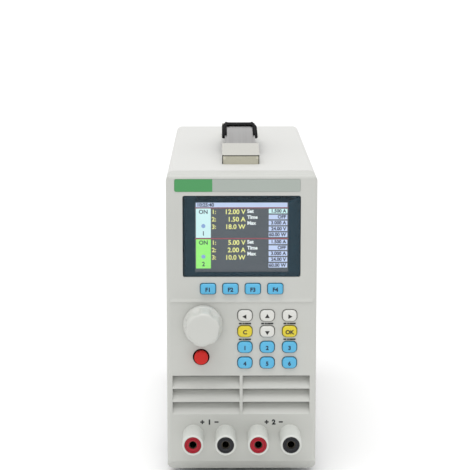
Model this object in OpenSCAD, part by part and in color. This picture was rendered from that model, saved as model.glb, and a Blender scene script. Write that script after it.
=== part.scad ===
// Bench DC electronic load with two input channels in an upright case with a carrying handle.
// Millimetres, +Z up, origin at the bottom centre, +X right and +Y to the back as seen from the front.

/* [Case] */
// Width over the sheet-metal sides, which the front layout and the fan follow
case_w = 88; // [87:0.5:110]
// Height of the case without its feet, which the rows of the front panel follow
case_h = 178; // [177:0.5:200]
// Depth from the front face to the rear panel
case_d = 256; // [250:1:320]
// Thickness of the sheet metal
sheet_t = 1.2; // [0.8:0.1:1.4]
// Outer radius of the top bends, shared by cover and bezel
bend_r = 4; // [3:0.5:5]
// Open seam between bezel and cover
seam = 0.4; // [0.2:0.1:0.8]
// Height of the rubber feet
foot_h = 5; // [3.5:0.5:10]
// Diameter of a rubber foot
foot_d = 14; // [11:0.5:18]
// Distance of the feet from the front face and from the rear panel
foot_inset = 32; // [28:1:45]

/* [Front bezel] */
// Depth of the bezel sides
bezel_d = 18; // [17:0.5:24]
// Thickness of the bezel sides
wall_t = 2.6; // [2.4:0.1:3]
// Thickness of the front face
face_t = 3; // [2.8:0.1:3.4]
// Rounding of the front edges
edge_r = 2.2; // [1:0.1:2.5]
// Height of the slanted chin at the bottom
chin_h = 6.2; // [3:0.2:7]
// Depth of the slanted chin
chin_d = 6; // [3:0.2:8]
// Distance of the ridge's lower edge below the top edge
ridge_below = 75.2; // [74:0.1:76]
// How far the ridge stands proud of the face
ridge_t = 0.5; // [0.2:0.1:1]

/* [Label strip] */
// Width of the label
label_w = 73; // [40:1:76]
// Height of the label
label_h = 7.3; // [4:0.1:8]
// Thickness of the label
label_t = 0.5; // [0.3:0.1:0.8]
// Sideways offset of the label
label_x = -2.5; // [-4:0.5:4]

/* [Display] */
// Width of the display window
window_w = 68.8; // [64:0.2:69]
// Height of the display window
window_h = 48.1; // [46:0.1:49]
// Centre of the window below the top edge
window_below = 36.2; // [36:0.1:36.6]
// Thickness of the window pane
window_t = 1.2; // [0.8:0.1:1.3]
// Width of the visible screen
screen_w = 54.4; // [48:0.2:56]
// Height of the visible screen
screen_h = 41.2; // [36:0.2:41.6]

/* [Keys] */
// Width of a soft key
soft_w = 9; // [7:0.1:9.6]
// Height of a soft key
soft_h = 6.3; // [5:0.1:6.6]
// Soft-key row below the top edge
soft_below = 67.1; // [66.6:0.1:67.4]
// Width of a keypad key
key_w = 8.5; // [7:0.1:9]
// Height of a keypad key
key_h = 6.8; // [5.6:0.1:7]
// Sideways pitch of all keys
key_pitch = 13.1; // [12.6:0.1:13.4]
// Row pitch of the keypad
row_pitch = 9.47; // [9.2:0.01:9.6]
// Gap around each key
key_gap = 0.3; // [0.25:0.05:0.35]
// How far the keys stand proud
key_reach = 1.8; // [1.2:0.1:3]
// Travel of a key
key_travel = 0.8; // [0.4:0.1:1]

/* [Knob and power button] */
// Diameter of the knob skirt
knob_d = 23.2; // [18:0.2:24]
// Diameter at the knob face
knob_face_d = 20.2; // [14:0.2:20.4]
// How far the knob stands out
knob_reach = 16; // [12:0.5:22]
// Number of finger flutes
flutes = 6; // [0:1:10]
// Radius of a finger flute
flute_r = 5; // [4:0.5:7]
// Depth of a finger flute at the knob face
flute_d = 0.6; // [0.2:0.1:0.9]
// Diameter of the power button
power_d = 8.4; // [7:0.1:9.4]
// How far the power button stands out
power_reach = 3; // [2.8:0.1:4]
// Travel of the power button
power_travel = 2.4; // [1:0.1:2.6]

/* [Front vents] */
// Width of one louvre
vent_w = 39.6; // [30:0.2:39.8]
// Height of one louvre opening
vent_h = 7.4; // [5:0.1:7.5]
// Row pitch of the louvres
vent_pitch = 8.03; // [7.9:0.01:8.1]
// Depth of the louvre blades
vent_d = 4.5; // [3:0.5:8]

/* [Input terminals] */
// Diameter of a terminal sleeve
sleeve_d = 12.4; // [11.6:0.1:14]
// How far the sleeves stand out
sleeve_reach = 22; // [18:0.5:26]
// Diameter of the coloured collar
collar_d = 9.8; // [9:0.1:10.2]
// Bore of the contact socket
socket_d = 4.1; // [4:0.05:4.2]
// Depth of the contact bore
socket_l = 19; // [14:0.5:19.5]
// Pitch of the four sockets
socket_pitch = 19.05; // [18:0.05:19.3]

/* [Handle] */
// Length over both end caps
handle_l = 163; // [150:1:190]
// Width of caps and grip
handle_w = 22.6; // [22:0.2:28]
// Length of an end cap
cap_l = 24.5; // [22:0.5:28]
// Height of the outer end of a cap
cap_low = 5.5; // [5.2:0.1:7]
// Height of the inner end of a cap
cap_high = 10; // [9.8:0.1:12]
// Length of the grip sleeve
grip_l = 64; // [50:1:80]
// Thickness of the grip sleeve
grip_t = 3.2; // [3.2:0.1:5]
// Height of the bowed band's middle over the cover
bow_z = 14.5; // [13:0.1:18]
// Width of the spring band
band_w = 19; // [16:0.1:19.2]
// Thickness of the spring band
band_t = 1.2; // [0.8:0.1:1.4]
// Free lift of the handle
lift = 2.6; // [1:0.1:2.6]

/* [Rear fittings] */
// Edge length of the fan
fan_w = 80; // [70:1:80]
// Depth of the fan
fan_d = 25; // [20:1:28]
// Number of fan blades
fan_blades = 7; // [5:1:9]
// How far the serial port stands out
port_reach = 5.5; // [5:0.1:7]
// Width of the inlet flange
inlet_w = 48; // [46:0.5:52]

/* [Inside] */
// Height of the heatsinks
sink_h = 80; // [60:1:84]
// Number of fins on each heatsink
fins = 10; // [6:1:11]
// Height of the board standoffs
stand_h = 12; // [10:0.5:16]
// Thickness of the circuit boards
board_t = 1.6; // [1.2:0.1:2]
// Width of the transformer core
core_w = 48; // [40:1:52]
// Height of the transformer core
core_h = 40; // [32:1:44]
// Thickness of the transformer core
core_t = 18; // [14:1:24]
// Diameter of a filter capacitor
capacitor_d = 18; // [12:1:24]
// Height of a filter capacitor
capacitor_h = 32; // [20:1:40]

/* [Hidden] */
$fn = 64;
fit = 0.2;
half_w = case_w / 2;
in_w = case_w - 2 * sheet_t;
y_face = sleeve_reach - (case_d + sleeve_reach + port_reach) / 2;
y_back = y_face + case_d;
z_bot = foot_h;
z_top = foot_h + case_h;
in_r = bend_r - sheet_t;
wide = case_w / 88;
tall = case_h / 178;

screw_r = 1.45;
head_r = 2.8;
head_h = 1.8;
hole_r = screw_r + 0.1;
screw_l = 8;
dome_r = 4.2;
cross_l = 3.2;
cross_w = 0.8;
cross_d = 0.9;

tongue_l = 5;
frame_y = bezel_d + tongue_l;
post_r = 3.5;
post_x = half_w - wall_t - post_r + 0.7;
post_rows = [7 * tall, 66 * tall, case_h - 12];
stub_r = 3.4;
stub_x = half_w - wall_t - head_r - 0.3;
stub_rows = [30 * tall, 112 * tall];
ridge_row = ridge_below * tall;
board_y = 14;
control_row = 61 * tall;
control_h = 114 * tall;

window_sink = 0.5;
mask_t = 0.4;
window_r = 1.2;
ledge_y = window_sink + window_t + mask_t;
pane_w = window_w * wide;
pane_h = window_h * tall;
pane_row = window_below * tall;
view_w = screen_w * wide;
view_h = screen_h * tall;
view_row = pane_row + 0.8;
lcd_w = view_w + 11;
lcd_h = view_h + 5;
lcd_t = 3.6;

strip_w = label_w * wide;
strip_h = label_h * tall;
strip_x = label_x * wide;
label_below = edge_r + 0.3 + strip_h / 2;
label_sink = 0.3;

soft_cap_w = soft_w * wide;
soft_cap_h = soft_h * tall;
soft_row = soft_below * tall;
pad_cap_w = key_w * wide;
pad_cap_h = key_h * tall;
key_step = key_pitch * wide;
row_step = row_pitch * tall;
pad_x = 1.95 * wide;
pad_below = 83.1 * tall;
soft_names = ["soft_key_1", "soft_key_2", "soft_key_3", "soft_key_4"];
pad_names = [
    ["key_left", "key_up", "key_right"],
    ["key_cancel", "key_down", "key_confirm"],
    ["key_mode", "key_menu", "key_set"],
    ["key_channel", "key_trigger", "key_output"],
];
soft_r = 1.3;
pad_r = 2.5;
key_edge = 0.4;
stem_r = 1.7;
switch_w = 6;
switch_h = 3.5;
plunger_r = 1.6;
lip = 1;
lip_y = face_t + 0.25;
lip_t = 1;
stem_end = lip_y + lip_t + 2.4;
switch_y = stem_end + key_travel + 0.3;

knob_x = -22.7 * wide;
knob_below = ridge_row + 13.2 * tall;
knob_gap = 0.6;
knob_round = 1.8;
knob_taper = 1;
flute_a = 51;
skirt_h = 4.5;
shaft_r = 2.97;
bush_r = 3.5;
encoder_w = 13;
encoder_h = 12.4;
encoder_d = 6.5;
power_x = knob_x - 1.1;
power_below = knob_below + 19.7 * tall;
power_gap = 0.75;
power_hole_r = power_d / 2 + power_gap;
power_edge = 0.6;
power_lip_r = power_hole_r + 0.6;
power_lip_t = 1;
power_stem_r = 1.6;
power_box_w = 8.4;
power_play = 0.4;
power_stem_end = lip_y + power_lip_t + 5;

louvre_w = vent_w * wide;
louvre_h = vent_h * tall;
louvre_step = vent_pitch * tall;
vent_x = -0.3;
vent_below = 119.5 * tall;
vent_web = louvre_step - louvre_h;
vent_rib = 0.9;
blade_gap = 1.4;
blade_t = 1.4;

socket_below = case_h - 22.5;
socket_xs = socket_pitch * wide * [-1.5, -0.5, 0.5, 1.5];
spigot_r = collar_d / 2 + 0.9;
contact_r = 3;
stud_r = 2.5;
collar_end = face_t + 3;
contact_y = 1.8 - sleeve_reach;
bus_t = 1.5;
bus_w = 8;
nut_t = 3.5;
nut_r = 5.2;

handle_y = case_d / 2;
cap_y = handle_y - handle_l / 2;
tab_l = 3;
cap_slot = tab_l + 9.6;
cap_screw_x = 6;
cap_screw_y = handle_l / 2 - 7;
band_end = cap_y + cap_l - 9;
tab_z = 2.6 + band_t / 2;
rise_a = 2 * atan2(bow_z - tab_z, handle_y - band_end);
rise_r = 30;
bow_r = (handle_y - band_end) / sin(rise_a) - rise_r;
grip_a = asin(grip_l / 2 / bow_r);
roof_t = 1;
grip_bevel_w = (handle_w - band_w) / 2 + 0.7;
grip_bevel_h = 2.5;
notch_w = band_w - 2.6;
notch_l = grip_l / 2 - 7;
notch_r = 3;

rim_h = 16;
return_l = 14;
side_screws = [
    [frame_y + 42, rim_h / 2],
    [case_d - 40, rim_h / 2],
    [case_d - return_l / 2 - 1, 60],
    [case_d - return_l / 2 - 1, case_h - 34],
];

fan_size = fan_w * wide;
fan_below = fan_size / 2 + 10;
fan_r = fan_size / 2 - 2;
fan_hole = fan_size / 2 - 4.25;
fan_screw_r = 1.9;
fan_hole_r = fan_screw_r + 0.25;
hub_r = 15;
axle_r = 1.5;
fan_post_h = 13;
spoke_w = 3.2;
spoke_t = 3;
chord = 22;
chord_t = 1.6;
chord_a = 48;
guard_w = 1.8;
guard_t = 1.6;
inlet_h = 22;
inlet_t = 3;
inlet_pitch = 40;
inlet_below = case_h - rim_h - inlet_h / 2 - 3;
port_below = inlet_below - inlet_h / 2 - 9;
cave_w = 24.4;
cave_h = 16.4;
cave_d = 15;
cave_wall = 1.5;
pin_w = 2;
pin_h = 4;
pin_l = cave_d + 8;
pin_x = 7;
pin_off = 2;
port_w = 19;
port_h = 10.4;
port_screw_x = 12.5;
contact_step = 2.77;
contact_row = 1.42;
contact_hole_r = 0.55;

tray_z = z_bot + sheet_t;
board_z = tray_z + stand_h;
board_top = board_z + board_t;
board_w = in_w - 19.6;
board_y0 = 32;
board_y1 = case_d - 52;
sink_y0 = 64;
sink_y1 = case_d - sheet_t - fan_d - 14;
sink_z0 = z_top - 12 - sink_h;
sink_x = half_w - sheet_t - 5.8;
sink_base = 5;
fin_t = 1.6;
device_t = 4.8;
device_w = 15.6;
device_h = 20.8;
lead_step = 5.45;
lead_l = 14;
pillar_r = 2.5;
pillar_x = board_w / 2 + 0.7 + pillar_r;
pillar_ys = [sink_y0 + 16, sink_y1 - 16];
standoff_ys = [board_y0 + 22, board_y1 - 6];
standoff_r = 3;
core_y = board_y1 - 34;
coil_w = core_w - core_t;
coil_l = core_t + 20;
coil_z = 4;
capacitor_x = capacitor_d / 2 + 5;
capacitor_y = board_y0 + 62;

// Frame of the front face: x right, y down from the top edge, z into the case.
module panel_frame() {
    translate([0, y_face, z_top]) rotate([-90, 0, 0]) children();
}

// Frame of the rear panel: x right, y down from the top edge, z out of the back.
module rear_frame() {
    translate([0, y_back, z_top]) rotate([-90, 0, 0]) children();
}

// Side profile of depth and height, drawn out over a width centred on the middle plane.
module side_slab(w, z = 0) {
    translate([0, y_face, z]) rotate([90, 0, 90]) linear_extrude(w, center = true) children();
}

module rounded_rect(w, h, r) {
    square([w - 2 * r, h], center = true);
    square([w, h - 2 * r], center = true);
    for (x = [-1, 1], y = [-1, 1]) translate([x * (w / 2 - r), y * (h / 2 - r)]) circle(r);
}

module slab(w, h, r, z0, z1) {
    translate([0, 0, z0]) linear_extrude(z1 - z0) rounded_rect(w, h, r);
}

module rod(r, z0, z1) {
    translate([0, 0, z0]) cylinder(h = z1 - z0, r = r);
}

// Pan-head screw with a crossed recess, head above z = 0 and shank below it.
module screw(len, shank = screw_r) {
    difference() {
        union() {
            intersection() {
                cylinder(h = head_h, r = head_r);
                translate([0, 0, head_h - dome_r]) sphere(dome_r);
            }
            rod(shank, -len, 0.1);
        }
        for (a = [0, 90]) rotate(a) translate([-cross_l / 2, -cross_w / 2, head_h - cross_d])
            cube([cross_l, cross_w, 2 * cross_d]);
    }
}

// Front bezel

module bezel_side() {
    polygon([
        [0, z_bot + chin_h], [chin_d, z_bot], [bezel_d, z_bot], [bezel_d, z_top],
        [edge_r, z_top], [edge_r, z_top - edge_r], [0, z_top - edge_r],
    ]);
    translate([edge_r, z_top - edge_r]) circle(edge_r);
}

module bezel_plan() {
    translate([-half_w, edge_r]) square([case_w, bezel_d - edge_r]);
    translate([edge_r - half_w, 0]) square([case_w - 2 * edge_r, bezel_d]);
    for (s = [-1, 1]) translate([s * (half_w - edge_r), edge_r]) circle(edge_r);
}

module bezel_inside() {
    n = norm([chin_h, chin_d]);
    low = chin_h + (wall_t * n - chin_h * face_t) / chin_d;
    deep = (chin_h * chin_d + wall_t * n - chin_d * wall_t) / chin_h;
    polygon([
        [face_t, z_bot + low], [deep, z_bot + wall_t], [frame_y + 1, z_bot + wall_t],
        [frame_y + 1, z_top - wall_t], [face_t, z_top - wall_t],
    ]);
}

module bezel_shell() {
    difference() {
        union() {
            intersection() {
                panel_frame() translate([0, case_h / 2, 0]) slab(case_w, case_h, bend_r, 0, bezel_d);
                side_slab(case_w + 2) bezel_side();
                translate([0, y_face, z_bot]) linear_extrude(case_h) bezel_plan();
            }
            panel_frame() translate([0, case_h / 2, 0])
                slab(in_w - 2 * fit, case_h - 2 * sheet_t - 2 * fit, in_r - fit, bezel_d - 1, frame_y);
        }
        side_slab(case_w - 2 * wall_t) bezel_inside();
    }
}

module key_holes() {
    for (i = [0:3]) translate([(i - 1.5) * key_step, soft_row, 0])
        slab(soft_cap_w + 2 * key_gap, soft_cap_h + 2 * key_gap, soft_r + key_gap, -1, face_t + 1);
    for (c = [0:2], r = [0:3]) translate([pad_x + c * key_step, pad_below + r * row_step, 0])
        slab(pad_cap_w + 2 * key_gap, pad_cap_h + 2 * key_gap, pad_r + key_gap, -1, face_t + 1);
}

module vent_columns() {
    for (s = [-1, 1]) translate([vent_x + s * (louvre_w + 2 * vent_rib) / 2, 0, 0]) children();
}

module vent_cuts() {
    vent_columns() for (r = [0:2]) translate([-louvre_w / 2, vent_below + r * louvre_step, -1])
        cube([louvre_w, louvre_h, face_t + 2]);
}

module vent_blades() {
    vent_columns() {
        for (r = [0:2]) translate([-louvre_w / 2 - vent_rib / 2, vent_below + r * louvre_step, 0])
            rotate([90, 0, 90]) linear_extrude(louvre_w + vent_rib)
                polygon([[louvre_h, 0], [blade_gap, vent_d], [blade_gap + blade_t, vent_d],
                    [louvre_h + vent_web, 0.01]]);
        for (x = [-louvre_w / 2 - vent_rib, louvre_w / 2]) translate([x, vent_below - 1, face_t / 2])
            cube([vent_rib, 3 * louvre_step + 2, vent_d - face_t / 2]);
    }
}

// Shallow ridge across the face with a long slope above it and a short step below.
module face_ridge() {
    translate([edge_r - half_w, ridge_row, 0]) rotate([90, 0, 90]) linear_extrude(case_w - 2 * edge_r)
        polygon([[-2.2, 0], [-0.4, -ridge_t], [0, -ridge_t], [0.2, 0], [0.2, 0.5], [-2.2, 0.5]]);
}

module front_bezel() {
    color("#c9cac5") difference() {
        union() {
            difference() {
                bezel_shell();
                panel_frame() vent_cuts();
            }
            panel_frame() {
                vent_blades();
                face_ridge();
                for (s = [-1, 1]) {
                    for (b = post_rows) translate([s * post_x, b, 0]) rod(post_r, face_t - 0.5, frame_y);
                    for (b = stub_rows) translate([s * stub_x, b, 0]) rod(stub_r, face_t - 0.5, board_y);
                }
            }
        }
        panel_frame() {
            translate([strip_x, label_below, 0]) slab(strip_w + fit, strip_h + fit, 1.1, -1, label_sink);
            translate([0, pane_row, 0]) slab(pane_w, pane_h, window_r, -1, ledge_y);
            translate([0, view_row, 0]) slab(view_w + 3, view_h + 2, 1, -1, face_t + 1);
            key_holes();
            translate([knob_x, knob_below, 0]) rod(bush_r + 0.3, -1, face_t + 1);
            translate([power_x, power_below, 0]) rod(power_hole_r, -1, face_t + 1);
            for (x = socket_xs) translate([x, socket_below, 0]) rod(spigot_r, -1, face_t + 1);
            for (s = [-1, 1]) {
                for (b = post_rows) translate([s * post_x, b, 0]) rod(hole_r, frame_y - 12, frame_y + 1);
                for (b = stub_rows) translate([s * stub_x, b, 0]) rod(hole_r, face_t + 1, board_y + 1);
            }
        }
    }
}

module label_strip() {
    color("#b9beb7") panel_frame() translate([strip_x, label_below, 0])
        slab(strip_w, strip_h, 1, label_sink - label_t, label_sink);
}

// Sheet-metal case

module wrap_cover() {
    color("#e2e2e0") difference() {
        panel_frame() translate([0, case_h / 2, 0]) difference() {
            slab(case_w, case_h, bend_r, bezel_d + seam, case_d);
            slab(in_w, case_h - 2 * sheet_t, in_r, bezel_d, case_d + 1);
            translate([-half_w - 1, case_h / 2 - bend_r, bezel_d]) cube([case_w + 2, bend_r + 1, case_d]);
        }
        at_side_screws() rod(hole_r, -2 * sheet_t, 1);
        at_handle_screws() rod(hole_r, -1, sheet_t + 1);
    }
}

// Seats of the side screws, z pointing out of the case side.
module at_side_screws() {
    for (s = [-1, 1], p = side_screws) translate([s * half_w, y_face + p[0], z_bot + p[1]])
        rotate([0, s * 90, 0]) children();
}

// Seats of the handle screws on the underside of the cover.
module at_handle_screws() {
    for (sx = [-1, 1], sy = [-1, 1])
        translate([sx * cap_screw_x, y_face + handle_y + sy * cap_screw_y, z_top - sheet_t]) children();
}

module base_tray() {
    floor_y = bezel_d + seam;
    floor_l = case_d - sheet_t - floor_y;
    color("#b4b6b8") difference() {
        union() {
            translate([-in_w / 2, y_face + floor_y, z_bot]) cube([in_w, floor_l, sheet_t]);
            for (x = [-in_w / 2, in_w / 2 - sheet_t]) translate([x, y_face + frame_y, z_bot])
                cube([sheet_t, case_d - sheet_t - frame_y, rim_h]);
            panel_frame() difference() {
                translate([0, case_h / 2, 0])
                    slab(in_w, case_h - 2 * sheet_t, in_r, frame_y, frame_y + sheet_t);
                translate([0, case_h / 2 + 3, 0])
                    slab(2 * (post_x - post_r - 1.5), case_h - 22, 3, frame_y - 1, frame_y + 3);
            }
            translate([-in_w / 2, y_face + case_d - 2 * sheet_t, z_bot]) cube([in_w, sheet_t, rim_h]);
        }
        panel_frame() for (s = [-1, 1], b = post_rows) translate([s * post_x, b, 0])
            rod(hole_r, frame_y - 1, frame_y + 3);
        at_side_screws() rod(hole_r, -3 * sheet_t, 1);
        at_feet() rod(hole_r, -1, 3);
        at_rim_screws() rod(hole_r, -3 * sheet_t, 1);
    }
}

// Seats of the two screws through rear panel and tray, z pointing out of the back.
module at_rim_screws() {
    rear_frame() for (s = [-1, 1]) translate([s * (in_w / 2 - 9), case_h - rim_h / 2, 0]) children();
}

module rear_panel() {
    panel_h = case_h - sheet_t;
    color("#d9d9d7") difference() {
        union() {
            rear_frame() translate([0, sheet_t + panel_h / 2, 0]) slab(in_w, panel_h, in_r, -sheet_t, 0);
            for (x = [-in_w / 2, in_w / 2 - sheet_t]) translate([x, y_back - return_l, z_bot + rim_h + 2])
                cube([sheet_t, return_l - sheet_t / 2, case_h - rim_h - bend_r - 4]);
        }
        at_side_screws() rod(hole_r, -3 * sheet_t, 1);
        at_rim_screws() rod(hole_r, -3, 1);
        rear_frame() {
            translate([0, fan_below, 0]) rod(fan_r - 1, -3, 1);
            at_fan_holes() rod(fan_hole_r, -3, 1);
            translate([0, inlet_below, 0]) slab(
                cave_w + 2 * (cave_wall + fit), cave_h + 2 * (cave_wall + fit), 1.5, -3, 1);
            for (s = [-1, 1]) translate([s * inlet_pitch / 2, inlet_below, 0]) rod(hole_r, -3, 1);
            translate([0, port_below, 0]) slab(port_w + 1, port_h + 1, 2, -3, 1);
            for (s = [-1, 1]) translate([s * port_screw_x, port_below, 0]) rod(hole_r, -3, 1);
        }
    }
}

module case_screws() {
    color("#8d9094") {
        at_side_screws() screw(2 * sheet_t + 1);
        at_rim_screws() screw(6);
        rear_frame() for (s = [-1, 1]) translate([s * inlet_pitch / 2, inlet_below, inlet_t]) screw(8);
    }
}

module bezel_screws() {
    color("#8d9094") panel_frame() for (s = [-1, 1]) {
        for (b = post_rows) translate([s * post_x, b, frame_y + sheet_t]) screw(screw_l);
        for (b = stub_rows) translate([s * stub_x, b, board_y + board_t]) screw(screw_l);
    }
}

// Seats of the feet on the underside of the tray.
module at_feet() {
    for (sx = [-1, 1], y = [y_face + foot_inset, y_back - foot_inset])
        translate([sx * (half_w - foot_d / 2 - 6), y, z_bot]) children();
}

module rubber_feet() {
    color("#26272a") at_feet() difference() {
        translate([0, 0, -foot_h]) cylinder(h = foot_h, r1 = foot_d / 2 - 0.8, r2 = foot_d / 2);
        rod(hole_r, -foot_h - 1, 1);
        rod(head_r + 0.4, -foot_h - 1, -foot_h + head_h + 0.6);
    }
}

module foot_screws() {
    color("#8d9094") at_feet() translate([0, 0, head_h + 0.6 - foot_h]) rotate([180, 0, 0])
        screw(foot_h - head_h + sheet_t + 1);
}

// Display

module display_window() {
    color("#5c6670", 0.4) panel_frame() translate([0, pane_row, 0])
        slab(pane_w - fit, pane_h - fit, window_r - fit / 2, window_sink, window_sink + window_t);
}

module display_mask() {
    color("#26303a") panel_frame() difference() {
        translate([0, pane_row, 0])
            slab(pane_w - fit, pane_h - fit, window_r - fit / 2, ledge_y - mask_t, ledge_y);
        translate([0, view_row, 0]) slab(view_w, view_h, 0.6, 0, ledge_y + 1);
    }
}

module lcd_panel() {
    color("#101a2c") panel_frame() translate([0, view_row, 0]) {
        slab(lcd_w, lcd_h, 0.8, face_t, face_t + lcd_t);
        for (x = [-1, 1], y = [-1, 1]) translate([x * (lcd_w / 2 - 4), y * (lcd_h / 2 - 4), 0])
            slab(4, 4, 0.5, face_t + lcd_t - 0.5, board_y);
    }
}

// Keys and controls

module key(w, h, r) {
    slab(w, h, r, -key_reach + 0.5, lip_y + 0.1);
    slab(w - 2 * key_edge, h - 2 * key_edge, r - key_edge, -key_reach, -key_reach + 0.6);
    slab(w + 2 * lip, h + 2 * lip, r, lip_y, lip_y + lip_t);
    rod(stem_r, lip_y, stem_end);
}

module soft_key(i) {
    color("#55b4e1") panel_frame() translate([(i - 1.5) * key_step, soft_row, 0])
        key(soft_cap_w, soft_cap_h, soft_r);
}

module pad_key(c, r) {
    tint = r == 0 || (r == 1 && c == 1) ? "#e8e8e4" : r == 1 ? "#e1cd28" : "#55b4e1";
    color(tint) panel_frame() translate([pad_x + c * key_step, pad_below + r * row_step, 0])
        key(pad_cap_w, pad_cap_h, pad_r);
}

module key_switches() {
    color("#3a3c40") panel_frame() {
        for (i = [0:3]) translate([(i - 1.5) * key_step, soft_row, 0]) tact_switch();
        for (c = [0:2], r = [0:3]) translate([pad_x + c * key_step, pad_below + r * row_step, 0])
            tact_switch();
    }
}

module tact_switch() {
    slab(switch_w, switch_w, 0.4, board_y - switch_h, board_y);
    rod(plunger_r, switch_y, board_y - switch_h + 0.1);
}

// Knob body with its back at z = 0 and its face at z = h.
module knob_body(h) {
    face_r = knob_face_d / 2;
    difference() {
        union() {
            cylinder(h = skirt_h, r1 = knob_d / 2, r2 = knob_d / 2 - 0.3);
            translate([0, 0, skirt_h - 0.01])
                cylinder(h = h - knob_round - skirt_h + 0.01, r1 = face_r + knob_taper, r2 = face_r);
            rod(face_r - knob_round, 1, h);
            translate([0, 0, h - knob_round]) rotate_extrude()
                translate([face_r - knob_round, 0]) circle(knob_round);
        }
        for (i = [1:1:flutes]) rotate(i * 360 / flutes + flute_a)
            translate([face_r + flute_r - flute_d, 0, 0]) rod(flute_r, skirt_h + 0.6, h + 1);
        rod(shaft_r + 0.05, -1, h - 2.8);
    }
}

module control_knob() {
    color("#dcdcd6") panel_frame() translate([knob_x, knob_below, -knob_gap]) rotate([180, 0, 0])
        knob_body(knob_reach - knob_gap);
}

module encoder_shaft() {
    color("#a6a9ad") panel_frame() translate([knob_x, knob_below, 0])
        rod(shaft_r, 3 - knob_reach, board_y - 4);
}

module encoder_body() {
    color("#9a9da1") panel_frame() translate([knob_x, knob_below, 0]) difference() {
        union() {
            slab(encoder_w, encoder_h, 0.5, board_y - encoder_d, board_y);
            rod(bush_r, 0, board_y - encoder_d + 0.5);
        }
        rod(shaft_r + 0.04, -1, board_y - 3.5);
    }
}

module power_button() {
    color("#cd2d2d") panel_frame() translate([power_x, power_below, 0]) {
        rod(power_d / 2, power_edge - power_reach, lip_y + 0.1);
        translate([0, 0, -power_reach])
            cylinder(h = power_edge, r1 = power_d / 2 - power_edge, r2 = power_d / 2);
        rod(power_lip_r, lip_y, lip_y + power_lip_t);
        rod(power_stem_r, lip_y, power_stem_end);
    }
}

module power_switch() {
    color("#3a3c40") panel_frame() translate([power_x, power_below, 0]) difference() {
        slab(power_box_w, power_box_w, 0.5, lip_y + power_lip_t + power_travel + power_play, board_y);
        rod(power_stem_r + 0.3, 0, power_stem_end + power_travel + power_play);
    }
}

module control_board() {
    color("#1f6b3a") panel_frame() difference() {
        translate([0, control_row, 0])
            slab(case_w - 2 * wall_t - 1.2, control_h, 1, board_y, board_y + board_t);
        for (s = [-1, 1]) {
            for (i = [0, 1]) translate([s * post_x, post_rows[i], 0])
                rod(post_r + 0.6, board_y - 1, board_y + 4);
            for (b = stub_rows) translate([s * stub_x, b, 0]) rod(hole_r, board_y - 1, board_y + 4);
        }
    }
}

// Input terminals

module at_sockets(picks) {
    panel_frame() for (i = picks) translate([socket_xs[i], socket_below, 0]) children();
}

module terminal_sleeves() {
    color("#d6d6d1") at_sockets([0:3]) difference() {
        union() {
            rod(sleeve_d / 2, 0.6 - sleeve_reach, 0);
            translate([0, 0, -sleeve_reach]) cylinder(h = 0.6, r1 = sleeve_d / 2 - 0.6, r2 = sleeve_d / 2);
        }
        rod(collar_d / 2 + 0.05, -sleeve_reach - 1, 1);
    }
}

module collar() {
    difference() {
        union() {
            rod(collar_d / 2, 0.4 - sleeve_reach, 0);
            rod(spigot_r - 0.05, 0, face_t);
            rod(collar_d / 2 - 0.4, face_t - 0.1, collar_end);
        }
        rod(socket_d / 2 + 0.35, -sleeve_reach - 1, collar_end + 1);
        rod(contact_r + 0.05, contact_y, collar_end + 1);
    }
}

module red_collars() {
    color("#be2d3c") at_sockets([0, 2]) collar();
}

module black_collars() {
    color("#3c3e42") at_sockets([1, 3]) collar();
}

module contact_sockets() {
    color("#c9a24a") at_sockets([0:3]) difference() {
        union() {
            rod(contact_r, contact_y, collar_end);
            rod(stud_r, collar_end - 0.1, collar_end + bus_t + nut_t + 2);
        }
        rod(socket_d / 2, -sleeve_reach, contact_y + socket_l);
    }
}

module terminal_nuts() {
    color("#a6a9ad") at_sockets([0:3]) difference() {
        translate([0, 0, collar_end + bus_t]) cylinder(h = nut_t, r = nut_r, $fn = 6);
        rod(stud_r + 0.05, 0, 40);
    }
}

module input_busbars() {
    tab_top = z_top - socket_below + 6;
    color("#b87547") difference() {
        for (x = socket_xs) translate([x, y_face, 0]) {
            translate([-bus_w / 2, collar_end, board_top]) cube([bus_w, bus_t, tab_top - board_top]);
            translate([-bus_w / 2, collar_end, board_top]) cube([bus_w, board_y0 + 14 - collar_end, bus_t]);
        }
        at_sockets([0:3]) rod(stud_r + 0.05, 0, 20);
    }
}

// Handle, drawn as depth behind the front face and height over the cover

module cap_side() {
    polygon([[0, 0], [0, cap_low], [cap_l, cap_high], [cap_l, 0]]);
}

module cap_slot_side() {
    back = cap_l - cap_slot;
    mouth = cap_l + 1;
    floor_z = tab_z - band_t / 2;
    roof_z = tab_z + band_t / 2 + lift + 0.1;
    polygon([[back, floor_z], [back, roof_z], [mouth, roof_z + 2], [mouth, floor_z]]);
}

module handle_cap() {
    difference() {
        intersection() {
            side_slab(handle_w, z_top) translate([cap_y, 0]) cap_side();
            translate([0, y_face + cap_y + cap_l / 2 + 2, z_top])
                slab(handle_w, cap_l + 4, 2, 0, cap_high + 1);
        }
        side_slab(band_w + 1, z_top) translate([cap_y, 0]) cap_slot_side();
        at_handle_screws() rod(hole_r, -1, sheet_t + cap_low - 1.2);
    }
}

module mirrored_back() {
    translate([0, 2 * (y_face + handle_y), 0]) mirror([0, 1, 0]) children();
}

module handle_cap_front() {
    color("#cfcdc8") handle_cap();
}

module handle_cap_rear() {
    color("#cfcdc8") mirrored_back() handle_cap();
}

module ring_sector(r, t, a0, a1) {
    far = 2 * r;
    intersection() {
        difference() {
            circle(r + t / 2);
            circle(r - t / 2);
        }
        polygon([[0, 0], far * [cos(a0), sin(a0)], far * [cos(a1), sin(a1)]]);
    }
}

module band_end_side() {
    translate([band_end - tab_l, tab_z - band_t / 2]) square([tab_l, band_t]);
    translate([band_end, tab_z + rise_r]) ring_sector(rise_r, band_t, -90, rise_a - 90);
}

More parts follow.
